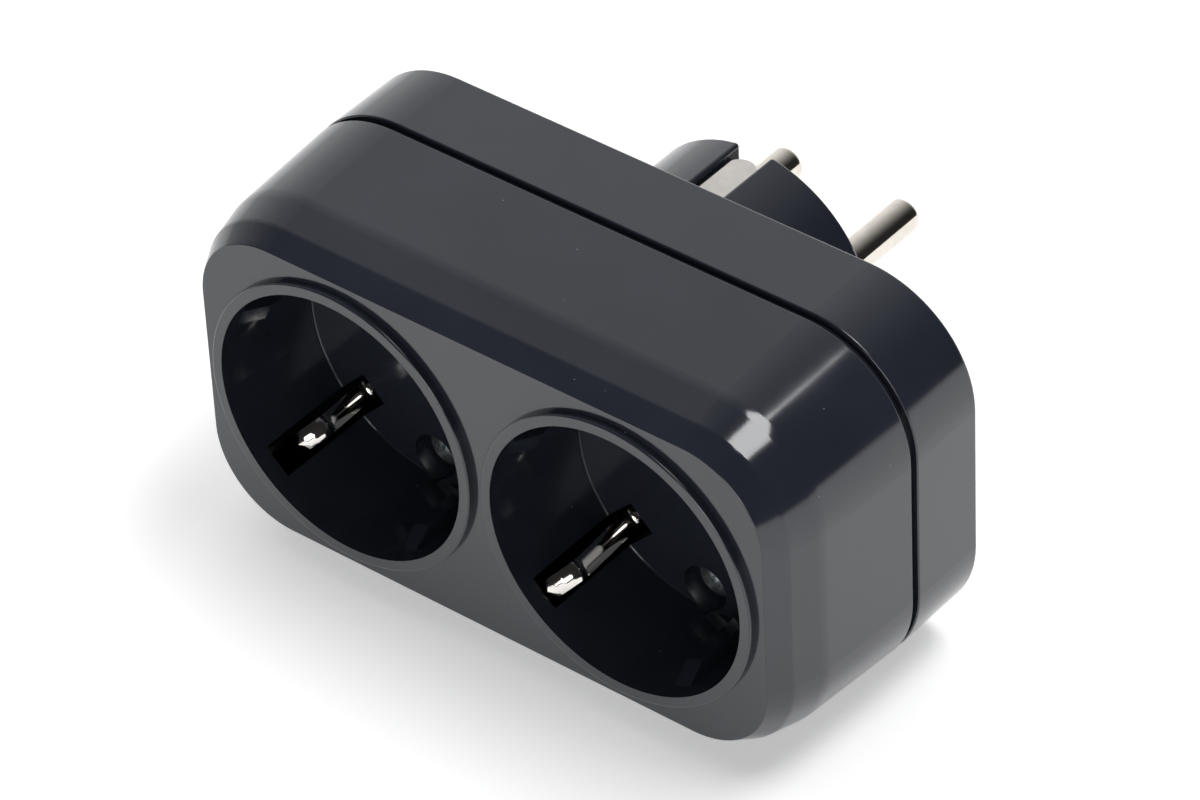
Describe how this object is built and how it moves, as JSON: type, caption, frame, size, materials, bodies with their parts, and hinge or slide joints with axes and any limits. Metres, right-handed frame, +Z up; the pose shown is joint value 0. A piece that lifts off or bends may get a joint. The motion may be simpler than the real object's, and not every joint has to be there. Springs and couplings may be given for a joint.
{
  "type": "multi socket adapter",
  "caption": "Dark plug-in mains adapter: a rounded, bevelled housing with recessed earthed round-pin sockets in front and a round earthed plug on the back.",
  "frame": {"origin": "under the middle of the adapter, on the surface it stands on with its long side down", "axes": "+X along the housing, to the right seen from the sockets; +Y from the sockets towards the wall, along the plug; +Z up"},
  "size_m": [0.0966, 0.0768, 0.0533],
  "materials": {
    "housing_plastic": "glossy moulded, dark blue-grey",
    "plated_brass": "nickel plated",
    "plated_spring": "nickel plated",
    "bare_brass": "stamped",
    "zinc_steel": "bright zinc plated"
  },
  "bodies": {
    "root": {"front_housing": "housing_plastic", "rear_cover": "housing_plastic", "plug_pin_left": "plated_brass", "plug_pin_right": "plated_brass", "plug_earth_bow": "plated_spring", "earth_bow_left": "plated_spring", "earth_bow_right": "plated_spring", "earth_bar": "plated_spring", "earth_pillar": "bare_brass", "earth_rivet_left": "bare_brass", "earth_rivet_right": "bare_brass", "line_busbar": "bare_brass", "neutral_busbar": "bare_brass", "line_contact_left": "bare_brass", "line_contact_right": "bare_brass", "neutral_contact_left": "bare_brass", "neutral_contact_right": "bare_brass", "line_rivet_left": "bare_brass", "line_rivet_right": "bare_brass", "neutral_rivet_left": "bare_brass", "neutral_rivet_right": "bare_brass", "screw_left_lower": "zinc_steel", "screw_left_upper": "zinc_steel", "screw_right_lower": "zinc_steel", "screw_right_upper": "zinc_steel"}
  },
  "joints": []
}
